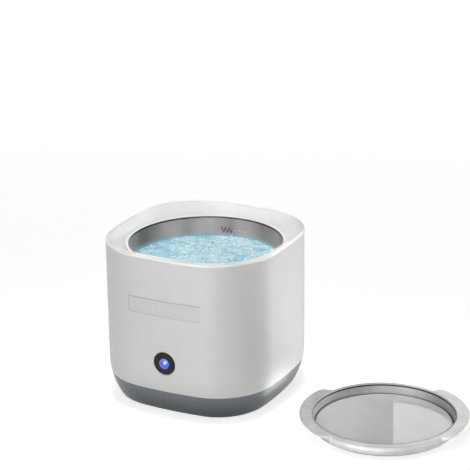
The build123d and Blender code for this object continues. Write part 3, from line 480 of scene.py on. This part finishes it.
def rounded(corners, closed=True, hold=0.12, step=12):
    """Points of an outline whose corners, (x, y, radius), are rounded in steps of some degrees.

    hold: distance of the point just outside each end of an arc.
    """
    points = []
    for n, (x, y, radius) in enumerate(corners):
        here = Vector((x, y))
        ends = not closed and n in (0, len(corners) - 1)
        if ends or radius == 0:
            points.append(here)
            continue
        back = (Vector(corners[n - 1][:2]) - here).normalized()
        ahead = (Vector(corners[(n + 1) % len(corners)][:2]) - here).normalized()
        half = back.angle(ahead) / 2
        reach = radius / math.tan(half)
        middle = here + (back + ahead).normalized() * radius / math.sin(half)
        arm = here + back * reach - middle
        turn = math.pi - 2 * half
        sense = 1 if back.x * ahead.y - back.y * ahead.x < 0 else -1
        count = max(2, math.ceil(math.degrees(turn) / step))
        points.append(here + back * (reach + hold))
        for k in range(count + 1):
            points.append(middle + Matrix.Rotation(sense * turn * k / count, 2) @ arm)
        points.append(here + ahead * (reach + hold))
    return points


def group(name, *sockets):
    """A Geometry Nodes tree with a geometry input, named inputs and one output, and what it is given."""
    tree = bpy.data.node_groups.new(name, "GeometryNodeTree")
    tree.interface.new_socket("Geometry", in_out="INPUT", socket_type="NodeSocketGeometry")
    for label, kind in sockets:
        tree.interface.new_socket(label, in_out="INPUT", socket_type="NodeSocket" + kind)
    tree.interface.new_socket("Geometry", in_out="OUTPUT", socket_type="NodeSocketGeometry")
    return tree, add(tree, "NodeGroupInput").outputs


def close_group(tree, geometry, surface):
    """End a tree in real meshes of one material."""
    real = add(tree, "GeometryNodeRealizeInstances", {0: geometry}).outputs[0]
    smooth = add(tree, "GeometryNodeSetShadeSmooth", {"Geometry": real}).outputs[0]
    painted = add(tree, "GeometryNodeSetMaterial", {"Geometry": smooth, "Material": surface}).outputs[0]
    add(tree, "NodeGroupOutput", {"Geometry": painted})


def grown(name, base, *stages):
    """The plain mesh that a chain of (tree, inputs) makes from a base mesh."""
    raw = put_in(name, base)
    for tree, values in stages:
        maker = raw.modifiers.new(tree.name, "NODES")
        maker.node_group = tree
        for item in tree.interface.items_tree:
            if item.in_out == "INPUT" and item.name in values:
                maker[item.identifier] = values[item.name]
    shaped = raw.evaluated_get(bpy.context.evaluated_depsgraph_get())
    mesh = bpy.data.meshes.new_from_object(shaped)
    bpy.data.objects.remove(raw)
    mesh.name = name
    return mesh


same_point = 0.0001 * MM


def settle(name, mesh, body, stands_for=(), place=None):
    """Put a mesh in the scene as a finished piece: in place, closed, facing outwards, riding on its body."""
    if place is not None:
        mesh.transform(place)
    shape = bmesh.new()
    shape.from_mesh(mesh)
    bmesh.ops.remove_doubles(shape, verts=shape.verts, dist=same_point)
    bmesh.ops.recalc_face_normals(shape, faces=shape.faces)
    shape.to_mesh(mesh)
    shape.free()
    mesh.shade_smooth()
    thing = put_in(name, mesh)
    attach(thing, body)
    if stands_for:
        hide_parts(*stands_for)


lathe, given = group("lathe", ("Steps", "Int"), ("Finish", "Material"))
core_radius = 10 * MM       # of the circle that carries the outline round
seam_gap = 0.001 * MM
outline_curve = add(lathe, "GeometryNodeMeshToCurve", {"Mesh": given["Geometry"]}).outputs[0]
section = add(lathe, "GeometryNodeTransform", {
    "Geometry": outline_curve, "Translation": (-core_radius, 0, 0),
    "Rotation": (math.pi / 2, 0, 0)}).outputs[0]
core = add(lathe, "GeometryNodeCurvePrimitiveCircle", {
    "Resolution": given["Steps"], "Radius": core_radius}).outputs["Curve"]
turned = add(lathe, "GeometryNodeCurveToMesh", {"Curve": core, "Profile Curve": section}).outputs[0]
joined = add(lathe, "GeometryNodeMergeByDistance", {"Geometry": turned, "Distance": seam_gap}).outputs[0]
close_group(lathe, joined, given["Finish"])


def outline_mesh(name, points, closed=True):
    """An outline of (outwards, up) points in millimetres as a mesh of edges, for the lathe."""
    count = len(points)
    edges = [(n, (n + 1) % count) for n in range(count if closed else count - 1)]
    mesh = bpy.data.meshes.new(name)
    mesh.from_pydata([(p[0] * MM, 0, p[1] * MM) for p in points], edges, [])
    return mesh


def turned_piece(name, points, steps, surface, closed=True):
    """The mesh that an outline makes, turned round the axis in a number of steps."""
    return grown(name, outline_mesh(name, points, closed), (lathe, {"Steps": steps, "Finish": surface}))


# ---- Drawn steel tank ----
tank_back = tank_radius + tank_sheet
tank_points = rounded([
    (0, tank_floor, 0), (tank_radius, tank_floor, tank_fillet), (tank_radius, rim_top, rim_roll),
    (rim_radius, rim_top, rim_edge), (rim_radius, rim_top - tank_sheet, sheet_edge),
    (tank_back, rim_top - tank_sheet, sheet_edge),
    (tank_back, tank_floor - tank_sheet, tank_fillet + tank_sheet),
    (0, tank_floor - tank_sheet, 0)], closed=False, step=8)
settle("drawn_tank", turned_piece("drawn_tank", tank_points, 256, finishes["tank_steel"], closed=False),
       "device", ["tank"])

# ---- Lid: pressed ring with two ears, seal and window ----
in_lid = Matrix.Translation(lid_centre * MM) @ Matrix.Rotation(math.radians(ear_turn), 4, "Z")
lid_under = lid_height - lid_sheet
bend_gap, split_gap = 0.5, 0.1      # from the bend to the section's outer part, and on to its inner part
flange_split = lid_skirt_radius - lid_bend - bend_gap


def off_ear(angle):
    """Degrees between a direction and the axis of the nearer ear."""
    return abs((math.degrees(angle) + 90) % 180 - 90)


def ear_reach(angle):
    """Distance from the lid's middle to the outline of an ear, in a direction."""
    fold = off_ear(angle)
    corner_far = ear_radius - ear_corner
    corner_side = ear_half_width - ear_corner
    corner_angle = math.degrees(math.asin(corner_side / corner_far))
    if fold <= corner_angle:
        return ear_radius
    corner_end = math.degrees(math.atan2(ear_half_width, math.sqrt(corner_far ** 2 - corner_side ** 2)))
    if fold >= corner_end:
        return ear_half_width / math.sin(math.radians(fold))
    off = math.radians(fold - corner_angle)
    return corner_far * math.cos(off) + math.sqrt(ear_corner ** 2 - (corner_far * math.sin(off)) ** 2)


def lid_outer(reach):
    """The sheet's outer part where it runs flat out to an ear's edge, from the flange's top to underneath."""
    return rounded([(flange_split, lid_height, 0), (reach, lid_height, sheet_edge),
                    (reach, lid_under, sheet_edge), (flange_split, lid_under, 0)], closed=False, step=30)


def lid_skirt():
    """The sheet's outer part where it bends down into the skirt."""
    inside = lid_skirt_radius - lid_sheet
    return rounded([(flange_split, lid_height, 0), (lid_skirt_radius, lid_height, lid_bend),
                    (lid_skirt_radius, lid_skirt_foot, sheet_edge), (inside, lid_skirt_foot, sheet_edge),
                    (inside, lid_under, lid_bend - lid_sheet), (flange_split, lid_under, 0)],
                   closed=False, step=15)


def evenly(points, count):
    """A line of points drawn again with a set number of points, evenly spaced by their order."""
    again = []
    for n in range(count):
        at = n * (len(points) - 1) / (count - 1)
        low = min(int(at), len(points) - 2)
        again.append(Vector(points[low]).lerp(Vector(points[low + 1]), at - low))
    return again


def lid_pressing():
    """Columns of the sheet's section round the lid; beside an ear it turns from flat to bent down."""
    inner_split = flange_split - split_gap
    skirt = lid_skirt()
    inner = rounded([(inner_split, lid_under, 0), (lid_well_radius + lid_sheet, lid_under, lid_lip),
                     (lid_floor_radius + lid_sheet, 0, lid_sheet), (lid_ledge_radius, 0, sheet_edge),
                     (lid_ledge_radius, lid_sheet, sheet_edge), (lid_floor_radius, lid_sheet, lid_lip),
                     (lid_well_radius, lid_height, lid_lip), (inner_split, lid_height, 0)],
                    closed=False, step=15)
    ear_end = math.degrees(math.asin(ear_half_width / lid_skirt_radius))
    columns = 360
    verts, faces = [], []
    for column in range(columns):
        angle = math.tau * column / columns
        flat = min(max((ear_end - off_ear(angle)) / ear_run_out, 0), 1)
        flat = flat * flat * (3 - 2 * flat)
        ear = evenly(lid_outer(max(ear_reach(angle), lid_skirt_radius)), len(skirt))
        outer = [down.lerp(out, flat) for down, out in zip(skirt, ear)]
        for r, z in outer + inner:
            verts.append((r * math.cos(angle) * MM, r * math.sin(angle) * MM, z * MM))
    count = len(skirt) + len(inner)
    for column in range(columns):
        here, ahead = column * count, (column + 1) % columns * count
        for n in range(count):
            m = (n + 1) % count
            faces.append((here + n, ahead + n, ahead + m, here + m))
    mesh = bpy.data.meshes.new("lid_pressing")
    mesh.from_pydata(verts, [], faces)
    mesh.materials.append(finishes["lid_steel"])
    return mesh


settle("lid_pressing", lid_pressing(), "lid", ["lid_ring"], in_lid)
glass_points = rounded([(0, window_low, 0), (glass_radius, window_low, window_edge),
                        (glass_radius, window_high, window_edge), (0, window_high, 0)], closed=False, step=22)
settle("lid_glass", turned_piece("lid_glass", glass_points, 192, finishes["window_glass"], closed=False),
       "lid", ["lid_window"], in_lid)
lip_inner, ledge_top = glass_radius + seal_gap, window_low - seal_gap
seal_points = rounded([
    (seal_inner, seal_low, fine_edge), (window_radius, seal_low, fine_edge),
    (window_radius, window_high, soft_edge), (lip_inner, window_high, fine_edge),
    (lip_inner, ledge_top, 0), (seal_inner, ledge_top, fine_edge)], hold=0.02, step=45)
settle("lid_gasket", turned_piece("lid_gasket", seal_points, 144, finishes["silicone"]),
       "lid", ["window_seal"], in_lid)

# ---- Push button and its lit lens ----
on_button = Matrix.Translation((0, 0, button_height * MM)) @ Matrix.Rotation(math.pi / 2, 4, "X")
hole = lens_radius + lens_gap
button_points = rounded([
    (hole, button_flange_back, 0), (hole, button_face - lens_seat, fine_edge / 2),
    (hole + lens_seat, button_face, fine_edge * 1.5), (button_radius, button_face, button_edge),
    (button_radius, button_flange_front, fine_edge), (button_flange_radius, button_flange_front, soft_edge),
    (button_flange_radius, button_flange_back, soft_edge)], hold=0.03, step=18)
settle("push_button", turned_piece("push_button", button_points, 128, finishes["button_abs"]),
       "button", ["button_cap"], on_button)
dome_radius = (lens_radius ** 2 + lens_dome ** 2) / (2 * lens_dome)
dome_span = math.asin(lens_radius / dome_radius)
dome_steps = 16
lens_points = [(dome_radius * math.sin(dome_span * n / dome_steps),
                button_face + lens_dome - dome_radius * (1 - math.cos(dome_span * n / dome_steps)))
               for n in range(dome_steps + 1)]
lens_points += [(lens_radius, button_face - lens_foot), (lens_radius, button_flange_back),
                (0, button_flange_back)]
settle("lit_lens", turned_piece("lit_lens", lens_points, 96, finishes["lens_polycarbonate"], closed=False),
       "button", ["button_lens"], on_button)

# ---- Wash liquid, stirred by the ultrasound, and its bubbles ----
liquid_radius = tank_radius - liquid_gap
liquid_floor = tank_floor + liquid_gap
ring_pitch = 0.7
ring_count = int(liquid_radius / ring_pitch)
liquid_points = [(liquid_radius * n / ring_count, liquid_level) for n in range(ring_count + 1)]
liquid_points += rounded([(liquid_radius, liquid_level - liquid_side, 0),
                          (liquid_radius, liquid_floor, tank_fillet), (0, liquid_floor, 0)],
                         closed=False, step=8)
ripple_depth, bubble_depth = 0.5, 1.6       # how far below its level it ripples and carries bubbles
bubble_rarity = 3.0         # the higher, the fewer large bubbles among the small
bubble_flatness = 0.5       # a bubble's height over its width


def above(tree, level):
    """The positions of a mesh's points, and which of them lie above a level."""
    spot = add(tree, "GeometryNodeInputPosition").outputs[0]
    height = add(tree, "ShaderNodeSeparateXYZ", {0: spot}).outputs["Z"]
    return spot, add(tree, "FunctionNodeCompare", {0: height, 1: level}, operation="GREATER_THAN").outputs[0]


ripples, given = group("ripples", ("Level", "Float"), ("Height", "Float"), ("Length", "Float"),
                       ("Seed", "Float"), ("Finish", "Material"))
spot, on_top = above(ripples, given["Level"])
per_length = add(ripples, "ShaderNodeMath", {0: 1.0, 1: given["Length"]}, operation="DIVIDE").outputs[0]
swell = add(ripples, "ShaderNodeTexNoise", {
    "Vector": spot, "W": given["Seed"], "Scale": per_length, "Detail": 2.5, "Roughness": 0.6,
    "Distortion": 1.2}, noise_dimensions="4D").outputs[0]
swell = add(ripples, "ShaderNodeMath", {0: swell, 1: 0.5}, operation="SUBTRACT").outputs[0]
rise = add(ripples, "ShaderNodeMath", {0: swell, 1: given["Height"]}, operation="MULTIPLY").outputs[0]
lift = add(ripples, "ShaderNodeCombineXYZ", {"Z": rise}).outputs[0]
stirred = add(ripples, "GeometryNodeSetPosition", {
    "Geometry": given["Geometry"], "Selection": on_top, "Offset": lift}).outputs[0]
close_group(ripples, stirred, given["Finish"])

bubbles, given = group("bubbles", ("Level", "Float"), ("Density", "Float"), ("Seed", "Int"),
                       ("Smallest", "Float"), ("Largest", "Float"), ("Finish", "Material"))
_, on_top = above(bubbles, given["Level"])
seats = add(bubbles, "GeometryNodeDistributePointsOnFaces", {
    "Mesh": given["Geometry"], "Selection": on_top, "Density": given["Density"],
    "Seed": given["Seed"]}).outputs["Points"]
bubble = add(bubbles, "GeometryNodeMeshIcoSphere", {"Radius": 1.0, "Subdivisions": 2}).outputs["Mesh"]
draw = add(bubbles, "FunctionNodeRandomValue", {"Seed": given["Seed"]}).outputs["Value"]
draw = add(bubbles, "ShaderNodeMath", {0: draw, 1: bubble_rarity}, operation="POWER").outputs[0]
size = add(bubbles, "ShaderNodeMapRange", {
    "Value": draw, "To Min": given["Smallest"], "To Max": given["Largest"]}).outputs["Result"]
squat = add(bubbles, "ShaderNodeMath", {0: size, 1: bubble_flatness}, operation="MULTIPLY").outputs[0]
spans = add(bubbles, "ShaderNodeCombineXYZ", {"X": size, "Y": size, "Z": squat}).outputs[0]
spread = add(bubbles, "GeometryNodeInstanceOnPoints", {
    "Points": seats, "Instance": bubble, "Scale": spans}).outputs[0]
close_group(bubbles, spread, given["Finish"])

water_mesh = grown("wash_liquid", outline_mesh("wash_liquid", liquid_points, False),
                   (lathe, {"Steps": 288, "Finish": wash_water}),
                   (ripples, {"Level": (liquid_level - ripple_depth) * MM, "Height": 3.0 * MM,
                              "Length": 4.5 * MM, "Seed": 4.0, "Finish": wash_water}))
foam_mesh = grown("wash_bubbles", water_mesh,
                  (bubbles, {"Level": (liquid_level - bubble_depth) * MM, "Density": 0.11 / MM ** 2,
                             "Seed": 7, "Smallest": 0.18 * MM, "Largest": 0.75 * MM,
                             "Finish": bubble_skin}))
settle("wash_liquid", water_mesh, "device")
settle("wash_bubbles", foam_mesh, "device")

# ---- Studio ----
soft_light = 0.02           # of the even light from all round
white_level = 1.0           # of the backdrop where it is seen
floor_glow = 0.75           # of the floor by the object, over the light that falls on it; white farther off
floor_half = 6.0            # metres, as are all the studio's sizes but the cards'
glow_start, glow_end = 0.5, 1.5     # distances over which the floor turns white
white = linear("ffffff")


def seen_rays(tree):
    """1 on rays that reach the camera straight, through glass or off a glossy surface, 0 on all others."""
    rays = add(tree, "ShaderNodeLightPath").outputs
    seen = rays["Is Camera Ray"]
    for kind in ("Is Transmission Ray", "Is Glossy Ray"):
        seen = add(tree, "ShaderNodeMath", {0: seen, 1: rays[kind]}, operation="MAXIMUM").outputs["Value"]
    return seen


def matt_sheet(name, surface_name, corners, colour):
    """A four-cornered matt sheet that can glow white; returns it, its tree and its shader."""
    mesh = bpy.data.meshes.new(name)
    mesh.from_pydata(corners, [], [(0, 1, 2, 3)])
    surface, tree, shader = finish(surface_name, colour, 0.9)
    shader.inputs["Emission Color"].default_value = white
    mesh.materials.append(surface)
    return put_in(name, mesh), tree, shader


# The floor is a matt painted sweep: pale, with no gloss, it keeps a soft shadow and runs out to plain white.
floor, tree, shader = matt_sheet("floor", "pale_sweep", [
    (-floor_half, -floor_half, 0), (floor_half, -floor_half, 0), (floor_half, floor_half, 0),
    (-floor_half, floor_half, 0)], "bcbcbc")
place = add(tree, "ShaderNodeTexCoord").outputs["Object"]
reach = add(tree, "ShaderNodeVectorMath", {0: place}, operation="LENGTH").outputs["Value"]
level = add(tree, "ShaderNodeMapRange", {"Value": reach, "From Min": glow_start, "From Max": glow_end,
                                         "To Min": floor_glow, "To Max": white_level}).outputs["Result"]
glow = add(tree, "ShaderNodeMath", {0: seen_rays(tree), 1: level}, operation="MULTIPLY").outputs["Value"]
tree.links.new(glow, shader.inputs["Emission Strength"])

# The air round it gives a trace of even light, and is white where it is seen.
world = bpy.data.worlds.new("studio")
bpy.context.scene.world = world
world.use_nodes = True
tree = world.node_tree
tree.nodes.clear()
soft = add(tree, "ShaderNodeBackground", {"Color": white, "Strength": soft_light}).outputs[0]
backdrop = add(tree, "ShaderNodeBackground", {"Color": white, "Strength": white_level}).outputs[0]
mixed = add(tree, "ShaderNodeMixShader", {0: seen_rays(tree), 1: soft, 2: backdrop}).outputs[0]
add(tree, "ShaderNodeOutputWorld", {"Surface": mixed})

# Cards that only reflections see, their corners in millimetres. The grey one stands behind the lid and
# darkens the left half of its window; the white ones lie on the table to the right and draw the bright bands
# on the housing's and the base's right corner.
for name, corners, colour, strength in (
        ("grey_card", ((53.2, 177.5, 45), (53.2, 177.5, 122), (-67.3, 128.7, 122), (-67.3, 128.7, 45)),
         "202020", 0.18),
        ("long_white_card", ((110, 65, 0.5), (248, 230, 0.5), (167, 278, 0.5), (87, 79, 0.5)), "ffffff", 2.2),
        ("short_white_card", ((58, -18, 0.5), (92, 6, 0.5), (72, 48, 0.5), (57, 14, 0.5)), "ffffff", 2.7)):
    card, _, shader = matt_sheet(name, name, [Vector(corner) * MM for corner in corners], colour)
    card.visible_camera = card.visible_diffuse = card.visible_transmission = card.visible_shadow = False
    shader.inputs["Emission Strength"].default_value = strength


def softbox(name, azimuth, elevation, width, tall, watts, fills=True, shines=True, spread=180):
    """Rectangular lamp in a direction from the object (degrees from +X and above the table), facing it.

    fills: it lights matt surfaces; shines: it shows in glossy ones; spread: the angle its grid leaves open.
    """
    distance, aim = 1.6, Vector((0, 0, 0.05))
    lamp = bpy.data.lights.new(name, "AREA")
    lamp.shape, lamp.size, lamp.size_y, lamp.energy = "RECTANGLE", width, tall, watts
    lamp.spread = math.radians(spread)
    stand = put_in(name, lamp)
    turn, rise = math.radians(azimuth), math.radians(elevation)
    stand.location = (distance * math.cos(turn) * math.cos(rise), distance * math.sin(turn) * math.cos(rise),
                      distance * math.sin(rise))
    stand.rotation_euler = (aim - stand.location).to_track_quat("-Z", "Y").to_euler()
    stand.visible_diffuse, stand.visible_glossy = fills, shines


fill_width, panel_width, lamp_tall = 0.45, 0.3, 0.6
for name, azimuth, elevation, watts in (
        ("front_fill", -90, 40, 3.9), ("front_right_fill", -45, 5, 3.9), ("right_rear_fill", 45, 5, 7.5),
        ("left_fill", -135, 5, 2.9), ("rear_fill", 118, 25, 4.0), ("overhead_fill", 0, 88, 4.2)):
    softbox(name, azimuth, elevation, fill_width, lamp_tall, watts, shines=False)
softbox("top_spot", 0, 90, 0.2, 0.2, 0.085, shines=False, spread=12)
for name, azimuth, elevation, watts in (
        ("right_strip", 36, 4, 4.0), ("right_rear_strip", 58, 4, 5.0), ("front_strip", -84, 4, 8.0),
        ("front_left_strip", -108, 4, 5.0), ("left_strip", -132, 4, 1.2), ("front_panel", -90, 30, 2.6),
        ("front_right_panel", -60, 30, 1.5), ("right_panel", -30, 30, 1.5), ("right_rear_panel", 60, 30, 2.5),
        ("front_left_panel", -120, 30, 1.4), ("left_panel", -165, 30, 1.8)):
    softbox(name, azimuth, elevation, panel_width, lamp_tall, watts, fills=False)

# ---- Camera ----
azimuth, elevation, roll = (math.radians(a) for a in (27.122, 19.302, -0.721))
focal_px, frame_px, sensor_mm = 1803.617, 470, 36.0
stands_at = (0.48495, -0.90795, 0.45740)
side = Vector((math.cos(azimuth), math.sin(azimuth), 0))
back = Vector((math.sin(azimuth) * math.cos(elevation), -math.cos(azimuth) * math.cos(elevation),
               math.sin(elevation)))
up = back.cross(side)
right = side * math.cos(roll) + up * math.sin(roll)
top = -side * math.sin(roll) + up * math.cos(roll)
look = bpy.data.cameras.new("camera")
look.sensor_width = sensor_mm
look.lens = focal_px / frame_px * sensor_mm
camera = put_in("camera", look)
camera.matrix_world = Matrix.Translation(stands_at) @ Matrix((right, top, back)).transposed().to_4x4()
bpy.context.scene.camera = camera
bpy.context.scene.view_settings.view_transform = "Standard"
